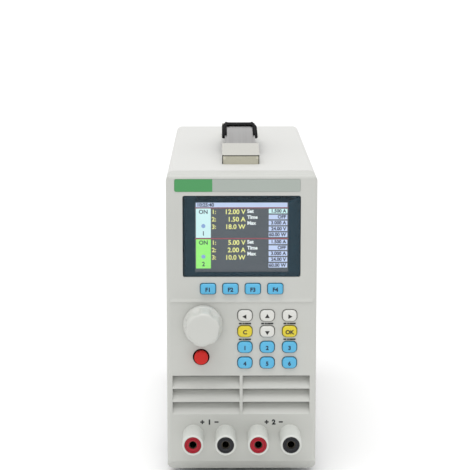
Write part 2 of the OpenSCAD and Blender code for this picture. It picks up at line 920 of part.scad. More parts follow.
// Bowed strip of a thickness t, offset outwards from the middle of the band.
module bow_side(t, offset = 0) {
    translate([handle_y, bow_z - bow_r]) ring_sector(bow_r + offset, t, 90 - rise_a, 90 + rise_a);
}

module handle_band() {
    color("#a9abac") side_slab(band_w, z_top) {
        band_end_side();
        translate([2 * handle_y, 0]) mirror([1, 0]) band_end_side();
        bow_side(band_t);
    }
}

// Section of the sleeve, outwards along x: its upper edges are bevelled.
module grip_section() {
    half = handle_w / 2;
    top = grip_t / 2;
    polygon([[-top, half - 0.8], [0.5 - top, half], [top - grip_bevel_h, half], [top, half - grip_bevel_w],
        [top, grip_bevel_w - half], [top - grip_bevel_h, -half], [0.5 - top, -half], [-top, 0.8 - half]]);
}

// Sleeve around the bowed band, with a notch in its roof at both ends that bares the band.
module handle_grip() {
    middle = y_face + handle_y;
    color("#232427") difference() {
        translate([0, middle, z_top + bow_z - bow_r]) rotate([0, -90, 0]) rotate(-grip_a)
            rotate_extrude(angle = 2 * grip_a) translate([bow_r + band_t / 2 + roof_t - grip_t / 2, 0])
                grip_section();
        side_slab(band_w + fit, z_top) bow_side(band_t + fit);
        intersection() {
            side_slab(handle_w, z_top) bow_side(6, 3);
            for (s = [-1, 1]) translate([0, middle + s * (grip_l / 2 - notch_l / 2 + 2), z_top])
                slab(notch_w, notch_l + 4, notch_r, 0, bow_z + 10);
        }
    }
}

module handle_screws() {
    color("#8d9094") at_handle_screws() rotate([180, 0, 0]) screw(sheet_t + cap_low - 2);
}

// Rear fittings

module at_fan_holes() {
    for (x = [-1, 1], y = [-1, 1]) translate([x * fan_hole, fan_below + y * fan_hole, 0]) children();
}

module fan_frame() {
    front = -sheet_t - fan_d;
    color("#2b2c2f") rear_frame() difference() {
        union() {
            translate([0, fan_below, 0]) difference() {
                slab(fan_size, fan_size, 4, front, -sheet_t);
                rod(fan_r, front - 1, 0);
            }
            translate([0, fan_below, 0]) {
                for (a = [45:90:315]) rotate(a) translate([hub_r - 1, -spoke_w / 2, front])
                    cube([fan_r - hub_r + 2, spoke_w, spoke_t]);
                rod(hub_r, front, front + spoke_t);
                rod(axle_r + 2.5, front, front + fan_post_h);
            }
        }
        translate([0, fan_below, 0]) rod(axle_r + 0.04, front + spoke_t / 2, 0);
        at_fan_holes() rod(fan_hole_r, front - 1, 0);
    }
}

module fan_rotor() {
    front = -sheet_t - fan_d + spoke_t + 0.8;
    back = -sheet_t - 1.5;
    color("#34363a") rear_frame() translate([0, fan_below, 0]) {
        difference() {
            rod(hub_r, front, back);
            rod(hub_r - 1.5, front - 1, back - 2);
        }
        rod(axle_r, front - 1.5, back - 1);
        difference() {
            intersection() {
                rod(fan_r - 1.2, front, back);
                for (i = [1:1:fan_blades]) rotate(i * 360 / fan_blades)
                    translate([hub_r - 1, 0, (front + back) / 2]) rotate([chord_a, 0, 0])
                        translate([0, -chord / 2, -chord_t / 2]) cube([fan_r, chord, chord_t]);
            }
            rod(hub_r - 0.5, front - 1, back + 1);
        }
    }
}

module fan_guard() {
    ring_step = (fan_r - 1) / 4;
    color("#b9bcc0") rear_frame() linear_extrude(guard_t) difference() {
        union() {
            for (i = [1:1:4]) translate([0, fan_below]) difference() {
                circle(i * ring_step + guard_w / 2);
                circle(i * ring_step - guard_w / 2);
            }
            for (a = [45:90:315]) translate([0, fan_below]) rotate(a) translate([ring_step, -guard_w / 2])
                square([fan_hole * sqrt(2) - ring_step, guard_w]);
            at_fan_holes() circle(4);
        }
        at_fan_holes() circle(fan_hole_r);
    }
}

module fan_screws() {
    color("#8d9094") rear_frame() at_fan_holes() translate([0, 0, guard_t]) screw(14, fan_screw_r);
}

module mains_inlet() {
    color("#1d1e20") rear_frame() translate([0, inlet_below, 0]) difference() {
        union() {
            slab(inlet_w, inlet_h, 4, 0, inlet_t);
            slab(cave_w + 2 * cave_wall, cave_h + 2 * cave_wall, 1.3, -cave_d, 0.1);
        }
        difference() {
            slab(cave_w, cave_h, 1, inlet_t - cave_d, inlet_t + 1);
            for (s = [-1, 1]) translate([s * cave_w / 2, -cave_h / 2, 0]) rotate(45)
                cube([6, 6, 80], center = true);
        }
        for (s = [-1, 1]) translate([s * inlet_pitch / 2, 0, 0]) rod(hole_r, -1, inlet_t + 1);
        at_pins() translate([-pin_w / 2 - 0.05, -pin_h / 2 - 0.05, -cave_d - 1])
            cube([pin_w + 0.1, pin_h + 0.1, 10]);
    }
}

module at_pins() {
    translate([0, -pin_off, 0]) children();
    for (s = [-1, 1]) translate([s * pin_x, pin_off, 0]) children();
}

module inlet_pins() {
    color("#c6c8ca") rear_frame() translate([0, inlet_below, 0]) at_pins()
        translate([-pin_w / 2, -pin_h / 2, -pin_l]) cube([pin_w, pin_h, pin_l]);
}

module serial_port() {
    color("#c6c8ca") rear_frame() translate([0, port_below, 0]) {
        slab(port_w + 12, port_h + 2, 1, -sheet_t - 1, -sheet_t);
        slab(port_w, port_h, 1.8, -10, -sheet_t);
        difference() {
            translate([0, 0, -sheet_t - 0.1]) linear_extrude(port_reach + sheet_t + 0.1)
                polygon([[-8.4, -4], [8.4, -4], [7.4, 4], [-7.4, 4]]);
            for (i = [0:4]) translate([(i - 2) * contact_step, -contact_row, 0])
                rod(contact_hole_r, port_reach - 3, port_reach + 1);
            for (i = [0:3]) translate([(i - 1.5) * contact_step, contact_row, 0])
                rod(contact_hole_r, port_reach - 3, port_reach + 1);
        }
        for (s = [-1, 1]) translate([s * port_screw_x, 0, 0]) {
            rod(screw_r, -sheet_t - 0.5, 1);
            cylinder(h = 4.8, r = 2.7, $fn = 6);
        }
    }
}

// Inside

module heatsink(s) {
    pitch = (sink_h - 3) / (fins - 1);
    translate([0, y_face + sink_y0, sink_z0]) {
        translate([s > 0 ? sink_x - sink_base : -sink_x, 0, 0]) cube([sink_base, sink_y1 - sink_y0, sink_h]);
        for (i = [0:1:fins - 1]) translate([s > 0 ? 2 : 1 - sink_x, 0, i * pitch + 0.7])
            cube([sink_x - 3, sink_y1 - sink_y0, fin_t]);
    }
}

module heatsink_left() {
    color("#9fa3a8") heatsink(-1);
}

module heatsink_right() {
    color("#9fa3a8") heatsink(1);
}

module power_transistors() {
    step = (sink_y1 - sink_y0) / 4;
    color("#1f2022") for (s = [-1, 1], i = [0:3])
        translate([s * (sink_x + device_t / 2), y_face + sink_y0 + (i + 0.5) * step, sink_z0 + sink_h / 2]) {
            cube([device_t, device_w, device_h], center = true);
            for (k = [-1, 0, 1]) translate([0, k * lead_step, 0.4 - (device_h + lead_l) / 2])
                cube([0.6, 1.2, lead_l], center = true);
        }
}

module chassis_pillars() {
    color("#b9bcc0") {
        for (s = [-1, 1], y = pillar_ys) translate([s * pillar_x, y_face + y, 0])
            rod(pillar_r, tray_z, sink_z0);
        for (s = [-1, 1], y = standoff_ys) translate([s * (board_w / 2 - 6), y_face + y, 0])
            rod(standoff_r, tray_z, board_z);
    }
}

module power_board() {
    color("#1f6b3a") translate([-board_w / 2, y_face + board_y0, board_z])
        cube([board_w, board_y1 - board_y0, board_t]);
}

module mains_transformer() {
    color("#6b5a36") translate([0, y_face + core_y, board_top]) {
        translate([-core_w / 2, -core_t / 2, 0]) cube([core_w, core_t, core_h]);
        translate([-coil_w / 2, -coil_l / 2, coil_z]) cube([coil_w, coil_l, core_h - 2 * coil_z]);
    }
}

module filter_capacitors() {
    color("#26324a") for (s = [-1, 1]) translate([s * capacitor_x, y_face + capacitor_y, board_top])
        cylinder(h = capacitor_h, r = capacitor_d / 2);
}

front_bezel();
wrap_cover();
base_tray();
rear_panel();
case_screws();
bezel_screws();
rubber_feet();
foot_screws();
label_strip();
display_window();
display_mask();
lcd_panel();
for (i = [0:3]) soft_key(i);
for (r = [0:3], c = [0:2]) pad_key(c, r);
control_knob();
encoder_shaft();
encoder_body();
power_button();
power_switch();
control_board();
key_switches();
terminal_sleeves();
red_collars();
black_collars();
contact_sockets();
terminal_nuts();
input_busbars();
handle_cap_front();
handle_cap_rear();
handle_band();
handle_grip();
handle_screws();
fan_frame();
fan_rotor();
fan_guard();
fan_screws();
mains_inlet();
inlet_pins();
serial_port();
heatsink_left();
heatsink_right();
power_transistors();
chassis_pillars();
power_board();
mains_transformer();
filter_capacitors();
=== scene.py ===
"""Bench DC electronic load: finishes, soft edges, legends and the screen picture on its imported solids."""

import math

import bmesh
import bpy
from bpy.props import FloatProperty, FloatVectorProperty, PointerProperty
from mathutils import Matrix, Vector


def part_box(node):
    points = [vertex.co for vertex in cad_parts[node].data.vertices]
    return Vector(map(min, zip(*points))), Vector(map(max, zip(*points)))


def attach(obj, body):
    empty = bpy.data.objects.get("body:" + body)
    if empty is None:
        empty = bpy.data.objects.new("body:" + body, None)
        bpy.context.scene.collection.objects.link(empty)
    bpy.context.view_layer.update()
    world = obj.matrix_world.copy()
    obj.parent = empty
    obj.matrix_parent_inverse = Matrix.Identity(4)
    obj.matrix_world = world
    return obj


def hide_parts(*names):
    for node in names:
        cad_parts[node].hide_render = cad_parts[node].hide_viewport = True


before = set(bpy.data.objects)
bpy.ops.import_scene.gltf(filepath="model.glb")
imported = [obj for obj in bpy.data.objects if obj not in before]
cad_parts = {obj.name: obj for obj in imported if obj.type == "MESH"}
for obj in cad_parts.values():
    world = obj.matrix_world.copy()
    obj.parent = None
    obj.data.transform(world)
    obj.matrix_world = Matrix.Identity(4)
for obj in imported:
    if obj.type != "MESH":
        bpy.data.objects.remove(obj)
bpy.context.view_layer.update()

bl_info = {
    "name": "DC Electronic Load",
    "version": (1, 0, 0),
    "blender": (4, 5, 0),
    "location": "View3D > Sidebar > Load",
    "description": "Builds the looks of a bench DC electronic load around its solids",
    "category": "Object",
}

MM = 0.001
UPRIGHT = Matrix.Rotation(math.pi / 2, 4, "X")
MERGE = 1e-7

# Prints are thin films that stand a little proud of what they are printed on.
FILM = 0.06 * MM
PROUD = 0.03 * MM

# The front face and the top edge, from the solids that lie in them.
LABEL_SINK = 0.3 * MM
FACE_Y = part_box("label_strip")[1].y - LABEL_SINK
TOP_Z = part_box("wrap_cover")[1].z

# Millimetres behind the face at which the lips of the keys and of the power button begin and end.
LIP_FRONT = 3.25
LIP_BACK = 4.25

SOFT_KEYS = ("soft_key_1", "soft_key_2", "soft_key_3", "soft_key_4")
YELLOW_KEYS = ("key_cancel", "key_confirm")
CAPTIONED_KEYS = ("key_cancel", "key_down", "key_confirm", "key_mode", "key_set")
# Turn of each arrow in degrees
ARROW_KEYS = {"key_left": 90, "key_up": 0, "key_right": -90, "key_down": 180}
KEY_LEGENDS = {
    "soft_key_1": "F1", "soft_key_2": "F2", "soft_key_3": "F3", "soft_key_4": "F4",
    "key_cancel": "C", "key_confirm": "OK",
    "key_mode": "1", "key_menu": "2", "key_set": "3",
    "key_channel": "4", "key_trigger": "5", "key_output": "6",
}
BLUE_KEYS = tuple(node for node in KEY_LEGENDS if node not in YELLOW_KEYS)

# Layers of the screen picture with their display colours, and what is written on them.
SCREEN_TONES = {
    # The ground's grey glow is partly the screen's own dark backlit ground and partly a painted reflection of
    # glare on the screen.
    "ground_and_glare": (78, 84, 92), "header": (200, 214, 246), "cyan": (215, 250, 252), "green": (158, 250, 122),
    "rules": (160, 74, 88), "boxes": (204, 217, 250), "digits": (252, 246, 150), "words": (240, 244, 246),
    "values": (24, 32, 66), "dots": (140, 170, 220),
}
CHANNEL_TONES = ("cyan", "green")
READINGS = (("12.00 V", "1.50 A", "18.0 W"), ("5.00 V", "2.00 A", "10.0 W"))
LIMIT_NAMES = ("Set", "Time", "Max")
LIMITS = ("1.500 A", "OFF", "3.000 A", "24.00 V", "60.00 W")
LAYER = 0.05 * MM

FLUTES = 6
FLUTE_TURN = math.radians(51)
COLLAR_R = 4.9
GUARD_RINGS = 4


def srgb(red, green, blue):
    """Linear colour from 8-bit display values."""
    def linear(value):
        c = value / 255
        return c / 12.92 if c <= 0.04045 else ((c + 0.055) / 1.055) ** 2.4
    return linear(red), linear(green), linear(blue)


def colour_prop(name, about, default):
    return FloatVectorProperty(
        name=name, description=about, subtype="COLOR", size=3, min=0, max=1, default=srgb(*default))


def length_prop(name, about, default):
    return FloatProperty(
        name=name, description=about, subtype="DISTANCE", unit="LENGTH", min=0, default=default * MM)


def angle_prop(name, about, default):
    return FloatProperty(
        name=name, description=about, subtype="ANGLE", unit="ROTATION", default=math.radians(default))


class LoadSizes(bpy.types.PropertyGroup):
    label_split: length_prop("Label split", "Width of the green part of the label strip", 22.0)
    screen_side: length_prop("Screen side", "How far the screen panel stands past its picture sideways", 5.5)
    screen_end: length_prop("Screen end", "How far the screen panel stands past its picture up and down", 2.5)
    key_edge: length_prop("Key edge", "Rounding of the key caps' front edges", 0.8)
    key_crown: length_prop("Key crown", "How far the middle of a key cap stands over its edge", 0.16)
    key_lip: length_prop("Key lip", "Width of the lip that keeps a key behind the panel", 1.0)
    key_stem: length_prop("Key stem", "Radius of the stem behind a key", 1.7)
    soft_corner: length_prop("Soft-key corner", "Corner radius of the soft keys", 1.3)
    pad_corner: length_prop("Keypad corner", "Corner radius of the keypad keys", 2.5)
    key_text: length_prop("Key lettering", "Height of the lettering on the keys", 2.4)
    key_arrow: length_prop("Key arrow", "Radius of the arrows on the keys", 1.6)
    key_gap: length_prop("Key gap", "Width of the gap around the keys", 0.3)
    key_trim: length_prop("Key trim", "How far the key caps stay inside their solids", 0.12)
    caption: length_prop("Caption", "Height of the dashes of the captions", 0.95)
    power_gap: length_prop("Power gap", "Width of the gap around the power button", 0.75)
    power_lip: length_prop("Power lip", "Width of the lip that keeps the power button behind the panel", 0.6)
    flute_r: length_prop("Flute radius", "Radius of the knob's finger flutes", 5.0)
    flute_at: length_prop("Flute distance", "Distance of the flutes from the knob's axis", 14.5)
    knob_face: length_prop("Knob face", "Radius of the knob at its face", 10.1)
    knob_round: length_prop("Knob rounding", "Rounding between the knob's side and its face", 2.2)
    knob_bore: length_prop("Knob bore", "Radius of the knob's bore", 3.02)
    input_text: length_prop("Input lettering", "Height of the lettering above the terminals", 2.9)
    cap_edge: length_prop("Handle-cap edge", "Rounding of the handle caps' edges", 0.7)
    # Width of the painted dark reflection along the sides and top of the caps' outer faces.
    cap_seam: length_prop("Handle-cap seam", "Width of the dark seams around the caps' outer faces", 0.6)
    # Height of the painted reflection on the caps' outer faces, up to the painted seam.
    cap_face: length_prop("Handle-cap face", "Height of the caps' outer faces up to the seam", 4.9)
    cap_corner: length_prop("Handle-cap corner", "Corner radius of the handle caps, seen from above", 2.0)
    wire: length_prop("Guard wire", "Diameter of the fan guard's wire", 1.6)
    guard_r: length_prop("Guard radius", "Radius of the fan guard's largest ring", 37.0)
    ear_r: length_prop("Guard ear", "Radius of the rings around the fan guard's screws", 3.1)
    ear_edge: length_prop("Guard ear edge", "Distance of the fan guard's screws from its edges", 4.0)


class LoadColours(bpy.types.PropertyGroup):
    panel: colour_prop("Panel", "Front bezel", (195, 196, 191))
    cover: colour_prop("Cover", "Painted sheet metal", (211, 211, 208))
    knob: colour_prop("Knob", "Control knob", (198, 199, 194))
    sleeve: colour_prop("Sleeves", "Sleeves of the input terminals", (204, 206, 201))
    blue_key: colour_prop("Blue keys", "Soft keys and function keys", (82, 177, 219))
    yellow_key: colour_prop("Yellow keys", "Cancel and confirm keys", (219, 200, 36))
    white_key: colour_prop("White keys", "Arrow keys", (215, 215, 210))
    red: colour_prop("Red", "Power button", (206, 30, 22))
    red_collar: colour_prop("Red collars", "Positive terminals", (164, 24, 42))
    black_collar: colour_prop("Black collars", "Negative terminals", (36, 37, 41))
    green_label: colour_prop("Green label", "Left part of the label strip", (61, 146, 81))
    grey_label: colour_prop("Grey label", "Right part of the label strip", (164, 172, 165))
    window_frame: colour_prop("Window frame", "Print around the screen", (35, 59, 72))
    ink: colour_prop("Ink", "Legends on the panel", (34, 35, 37))
    grip: colour_prop("Grip", "Sleeve of the handle", (15, 15, 16))
    band: colour_prop("Band", "Spring band of the handle", (162, 161, 160))
    chrome: colour_prop("Chrome", "End caps of the handle", (205, 204, 196))
    # Painted reflection: the beige, duller tone of the caps' outer faces stands for the warm surroundings
    # that the chrome mirrors.
    cap_face: colour_prop("Cap face", "Outer faces of the handle's end caps", (193, 190, 174))
    # Painted reflection: the dark seam colour stands for dark surroundings mirrored along the caps' rounded
    # edges.
    cap_seam: colour_prop("Cap seam", "Seams around the outer faces of the end caps", (52, 51, 42))


class StageSettings(bpy.types.PropertyGroup):
    lens: FloatProperty(name="Lens", description="Focal length of the camera", unit="CAMERA", default=130.1)
    eye: FloatVectorProperty(
        name="Eye", description="Place of the camera", subtype="TRANSLATION", unit="LENGTH", precision=5,
        default=(-0.01205, -1.09225, 0.3185))
    tilt: angle_prop("Tilt", "How far the camera looks down", 9.957)
    turn: angle_prop("Turn", "How far the camera looks to the left", -0.481)
    sun: FloatProperty(name="Sun", description="Strength of the soft key light", min=0, default=1.6)
    sun_way: FloatVectorProperty(
        name="Sun direction", description="Way in which the key light shines", subtype="DIRECTION",
        default=(0.08, 0.26, -1))
    sun_spread: angle_prop("Sun spread", "Angle that the key light covers, for soft shadows", 50)
    sky: FloatProperty(name="Sky", description="Strength of the even studio light", min=0, default=0.7)


# Materials

def shade(colour, factor):
    return (*(min(c * factor, 1.0) for c in colour), 1.0)


def add_node(tree, kind, inputs=None, **settings):
    node = tree.nodes.new(kind)
    for key, value in settings.items():
        setattr(node, key, value)
    for key, value in (inputs or {}).items():
        node.inputs[key].default_value = value
    return node


def noise_field(tree, scale, stretch=(1, 1, 1), detail=4.0):
    """Noise over the object's own coordinates."""
    coords = add_node(tree, "ShaderNodeTexCoord")
    mapping = add_node(tree, "ShaderNodeMapping", {"Scale": stretch})
    noise = add_node(tree, "ShaderNodeTexNoise", {"Scale": scale, "Detail": detail})
    tree.links.new(coords.outputs["Object"], mapping.inputs["Vector"])
    tree.links.new(mapping.outputs["Vector"], noise.inputs["Vector"])
    return noise.outputs["Fac"]


def blend_colours(tree, factor, first, second):
    """Mix of two colours, each a socket or a constant, by a factor socket."""
    mix = add_node(tree, "ShaderNodeMix", data_type="RGBA")
    tree.links.new(factor, mix.inputs[0])
    for index, value in ((6, first), (7, second)):
        if isinstance(value, bpy.types.NodeSocket):
            tree.links.new(value, mix.inputs[index])
        else:
            mix.inputs[index].default_value = value
    return mix.outputs[2]


def add_maths(tree, operation, first, second):
    """Result of a socket and a second value, which is a socket or a constant."""
    node = add_node(tree, "ShaderNodeMath", operation=operation)
    tree.links.new(first, node.inputs[0])
    if isinstance(second, bpy.types.NodeSocket):
        tree.links.new(second, node.inputs[1])
    else:
        node.inputs[1].default_value = second
    return node.outputs[0]


def distances(tree, middle):
    """How far a point lies from a middle along X, Y and Z, either way."""
    coords = add_node(tree, "ShaderNodeTexCoord")
    away = add_node(tree, "ShaderNodeVectorMath", {1: middle}, operation="SUBTRACT")
    plain = add_node(tree, "ShaderNodeVectorMath", operation="ABSOLUTE")
    split = add_node(tree, "ShaderNodeSeparateXYZ")
    tree.links.new(coords.outputs["Object"], away.inputs[0])
    tree.links.new(away.outputs["Vector"], plain.inputs[0])
    tree.links.new(plain.outputs["Vector"], split.inputs[0])
    return split.outputs["X"], split.outputs["Y"], split.outputs["Z"]


def lay_over(mat, mask, colour, spread):
    """Lays a second colour with slight clouds over a finish where a mask is one."""
    tree = mat.node_tree
    base = tree.nodes["Principled BSDF"].inputs["Base Color"]
    clouds = noise_field(tree, 60.0)
    tint = blend_colours(tree, clouds, shade(colour, 1 - spread), shade(colour, 1 + spread))
    tree.links.new(blend_colours(tree, mask, base.links[0].from_socket, tint), base)


def make_finish(name, colour, roughness, metallic=0.0, spread=0.06, patch=45.0, grain=1500.0, bump=0.08,
                stretch=(1, 1, 1), coat=0.0, specular=0.5):
    """Surface with slight clouds in colour and gloss and a fine grain."""
    mat = bpy.data.materials.new(name)
    mat.use_nodes = True
    tree = mat.node_tree
    shader = tree.nodes["Principled BSDF"]
    shader.inputs["Metallic"].default_value = metallic
    shader.inputs["Coat Weight"].default_value = coat
    shader.inputs["Specular IOR Level"].default_value = specular
    clouds = noise_field(tree, patch, stretch)
    tint = blend_colours(tree, clouds, shade(colour, 1 - spread), shade(colour, 1 + spread))
    tree.links.new(tint, shader.inputs["Base Color"])
    dull, shiny = roughness + 0.08, max(roughness - 0.08, 0.02)
    gloss = add_node(tree, "ShaderNodeMapRange", {"To Min": shiny, "To Max": dull})
    tree.links.new(clouds, gloss.inputs["Value"])
    tree.links.new(gloss.outputs["Result"], shader.inputs["Roughness"])
    fine = noise_field(tree, grain, stretch, 2.0)
    relief = add_node(tree, "ShaderNodeBump", {"Strength": bump, "Distance": 0.1 * MM})
    tree.links.new(fine, relief.inputs["Height"])
    tree.links.new(relief.outputs["Normal"], shader.inputs["Normal"])
    return mat


def make_glow(name, colour, strength=1.0):
    """Lit part of the screen, with the slight unevenness of its back light."""
    mat = bpy.data.materials.new(name)
    mat.use_nodes = True
    tree = mat.node_tree
    shader = tree.nodes["Principled BSDF"]
    shader.inputs["Base Color"].default_value = (0, 0, 0, 1)
    shader.inputs["Roughness"].default_value = 0.5
    shader.inputs["Emission Strength"].default_value = strength
    clouds = noise_field(tree, 60.0)
    tint = blend_colours(tree, clouds, shade(colour, 0.92), shade(colour, 1.06))
    tree.links.new(tint, shader.inputs["Emission Color"])
    return mat


def make_pane(name):
    """Clear window pane that mirrors a little more at a slant."""
    mat = bpy.data.materials.new(name)
    mat.use_nodes = True
    tree = mat.node_tree
    tree.nodes.remove(tree.nodes["Principled BSDF"])
    clear = add_node(tree, "ShaderNodeBsdfTransparent", {"Color": (0.95, 0.97, 0.97, 1)})
    mirror = add_node(tree, "ShaderNodeBsdfGlossy")
    slant = add_node(tree, "ShaderNodeLayerWeight", {"Blend": 0.5})
    share = add_node(tree, "ShaderNodeMapRange", {"To Min": 0.017, "To Max": 1.0})
    mix = add_node(tree, "ShaderNodeMixShader")
    clouds = noise_field(tree, 50.0)
    gloss = add_node(tree, "ShaderNodeMapRange", {"To Min": 0.04, "To Max": 0.12})
    tree.links.new(clouds, gloss.inputs["Value"])
    tree.links.new(gloss.outputs["Result"], mirror.inputs["Roughness"])
    tree.links.new(add_maths(tree, "POWER", slant.outputs["Facing"], 5.0), share.inputs["Value"])
    tree.links.new(share.outputs["Result"], mix.inputs[0])
    tree.links.new(clear.outputs[0], mix.inputs[1])
    tree.links.new(mirror.outputs[0], mix.inputs[2])
    tree.links.new(mix.outputs[0], tree.nodes["Material Output"].inputs["Surface"])
    return mat


# Pieces

def on_panel(x, below):
    """Point for a print on the front panel: millimetres to the right and below the top edge."""
    return Vector((x * MM, FACE_Y - PROUD, TOP_Z - below * MM))


def middle_of(node, y):
    """Middle of a node as seen from the front, at a given depth."""
    low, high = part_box(node)
    return Vector(((low.x + high.x) / 2, y, (low.z + high.z) / 2))


def add_piece(name, mesh, material, body, nodes=(), sharp=math.radians(35)):
    """Links a finished mesh as a piece that rides on a body and stands for the given nodes."""
    mesh.name = name
    mesh.shade_smooth()
    mesh.set_sharp_from_angle(angle=sharp)
    mesh.materials.append(material)
    piece = bpy.data.objects.new(name, mesh)
    bpy.context.scene.collection.objects.link(piece)
    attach(piece, body)
    if nodes:
        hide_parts(*nodes)
    return piece


def to_mesh(bm):
    """Mesh of a finished bmesh, with its faces turned outwards."""
    bmesh.ops.recalc_face_normals(bm, faces=bm.faces)
    mesh = bpy.data.meshes.new("piece")
    bm.to_mesh(mesh)
    bm.free()
    return mesh


def paint(material, *nodes):
    for node in nodes:
        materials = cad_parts[node].data.materials
        materials.clear()
        materials.append(material)


def soften(node, width):
    """Rounds the sharp edges of a solid as it is shown."""
    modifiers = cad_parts[node].modifiers
    weld = modifiers.new("Weld", "WELD")
    weld.merge_threshold = 0.001 * MM
    flat = modifiers.new("Flat", "DECIMATE")
    flat.decimate_type = "DISSOLVE"
    flat.angle_limit = math.radians(1)
    bevel = modifiers.new("Bevel", "BEVEL")
    bevel.width = width
    bevel.segments = 3
    bevel.limit_method = "ANGLE"
    bevel.angle_limit = math.radians(40)
    bevel.harden_normals = True


def arc(centre_r, centre_out, radius, start, end, count=5):
    """Points of a profile's rounding, in degrees from the radial direction towards the reach."""
    angles = [math.radians(start + (end - start) * i / count) for i in range(count + 1)]
    return [(centre_r + radius * math.cos(a), centre_out + radius * math.sin(a)) for a in angles]


def lathe(bm, profile, centre, steps=96, closed=False):
    """Spins a profile of (radius, reach) pairs in millimetres about the panel's normal through a point."""
    verts = [bm.verts.new(centre + Vector((r * MM, -out * MM, 0))) for r, out in profile]
    edges = [bm.edges.new(pair) for pair in zip(verts, verts[1:])]
    if closed:
        edges.append(bm.edges.new((verts[-1], verts[0])))
    bmesh.ops.spin(bm, geom=verts + edges, cent=centre, axis=(0, 1, 0), angle=math.tau, steps=steps,
                   use_merge=True)
    bmesh.ops.remove_doubles(bm, verts=bm.verts, dist=MERGE)


def block(bm, low, high, corner, segments=6):
    """Box between two corners with its four edges along the depth rounded."""
    size = high - low
    matrix = Matrix.Translation((low + high) / 2) @ Matrix.Diagonal((*size, 1))
    verts = bmesh.ops.create_cube(bm, size=1, matrix=matrix)["verts"]
    edges = {e for v in verts for e in v.link_edges if abs(e.verts[0].co.y - e.verts[1].co.y) > size.y / 2}
    bmesh.ops.bevel(bm, geom=list(edges), offset=corner, segments=segments, profile=0.5,
                    affect="EDGES", material=-1)


def plate(bm, centre, width, height, corner=0.0):
    """Flat upright rectangle that faces the front, with its corners rounded."""
    matrix = Matrix.Translation(centre) @ UPRIGHT @ Matrix.Diagonal((width, height, 1, 1))
    verts = bmesh.ops.create_grid(bm, x_segments=1, y_segments=1, size=0.5, matrix=matrix)["verts"]
    if corner:
        bmesh.ops.bevel(bm, geom=verts, offset=corner, segments=8, profile=0.5,
                        affect="VERTICES", material=-1)


def hollow(bm, width):
    """Leaves of each flat face a ring of a given width along its edge."""
    inner = bm.faces[:]
    bmesh.ops.inset_individual(bm, faces=inner, thickness=width, use_even_offset=True)
    bmesh.ops.delete(bm, geom=inner, context="FACES_ONLY")


def letters(bm, text, size, centre, align="CENTER", weight=0.03):
    """Adds flat upright lettering that faces the front: capital height, and stroke widening as its share."""
    curve = bpy.data.curves.new("letters", "FONT")
    curve.body = text
    curve.size = size / 0.72
    curve.offset = size * weight
    curve.align_x = align
    curve.align_y = "CENTER"
    curve.resolution_u = 4
    holder = bpy.data.objects.new("letters", curve)
    bpy.context.scene.collection.objects.link(holder)
    bpy.context.view_layer.update()
    mesh = bpy.data.meshes.new_from_object(holder.evaluated_get(bpy.context.evaluated_depsgraph_get()))
    mesh.transform(Matrix.Translation(centre) @ UPRIGHT)
    bm.from_mesh(mesh)
    bpy.data.objects.remove(holder)
    bpy.data.curves.remove(curve)
    bpy.data.meshes.remove(mesh)


def film_mesh(bm):
    """Mesh of flat pieces that are thickened backwards to closed films."""
    bmesh.ops.remove_doubles(bm, verts=bm.verts, dist=MERGE)
    bmesh.ops.solidify(bm, geom=bm.faces[:], thickness=FILM)
    mesh = bpy.data.meshes.new("piece")
    bm.to_mesh(mesh)
    bm.free()
    return mesh


class LOAD_OT_stage(bpy.types.Operator):
    """Camera, floor and soft studio light"""
    bl_idname = "dcload.stage"
    bl_label = "Stage"

    def execute(self, context):
        context.scene.view_settings.view_transform = "Standard"
        self.camera(context.scene, context.scene.load_stage)
        self.sun(context.scene, context.scene.load_stage)
        self.floor(context.scene)
        self.sky(context.scene, context.scene.load_stage)
        return {"FINISHED"}

    def camera(self, scene, stage):
        camera = bpy.data.cameras.new("camera")
        camera.lens = stage.lens
        camera.sensor_width = 36
        camera.clip_end = 200
        eye = bpy.data.objects.new("camera", camera)
        eye.location = stage.eye
        eye.rotation_euler = (math.pi / 2 - stage.tilt, 0, stage.turn)
        scene.collection.objects.link(eye)
        scene.camera = eye

    def sun(self, scene, stage):
        lamp = bpy.data.lights.new("sun", "SUN")
        lamp.energy = stage.sun
        lamp.angle = stage.sun_spread
        sun = bpy.data.objects.new("sun", lamp)
        sun.rotation_euler = Vector(stage.sun_way).to_track_quat("-Z", "Y").to_euler()
        scene.collection.objects.link(sun)

    def floor(self, scene):
        bm = bmesh.new()
        just_below = Matrix.Translation((0, 0, -0.2 * MM))
        bmesh.ops.create_grid(bm, x_segments=1, y_segments=1, size=30, matrix=just_below)
        floor = bpy.data.objects.new("floor", film_mesh(bm))
        paper = make_finish("floor_paper", (0.96, 0.96, 0.96), 0.9, spread=0.01, patch=2, bump=0)
        floor.data.materials.append(paper)
        scene.collection.objects.link(floor)

    def sky(self, scene, stage):
        """Even light that shows as white behind the object and in its gloss."""
        world = bpy.data.worlds.new("studio")
        scene.world = world
        world.use_nodes = True
        tree = world.node_tree
        background = tree.nodes["Background"]
        background.inputs["Color"].default_value = (1, 1, 1, 1)
        path = add_node(tree, "ShaderNodeLightPath")
        seen = path.outputs["Is Camera Ray"]
        for ray in ("Is Glossy Ray", "Is Transmission Ray"):
            seen = add_maths(tree, "MAXIMUM", seen, path.outputs[ray])
        level = add_node(tree, "ShaderNodeMapRange", {"To Min": stage.sky, "To Max": 1.0})
        tree.links.new(seen, level.inputs["Value"])
        tree.links.new(level.outputs["Result"], background.inputs["Strength"])


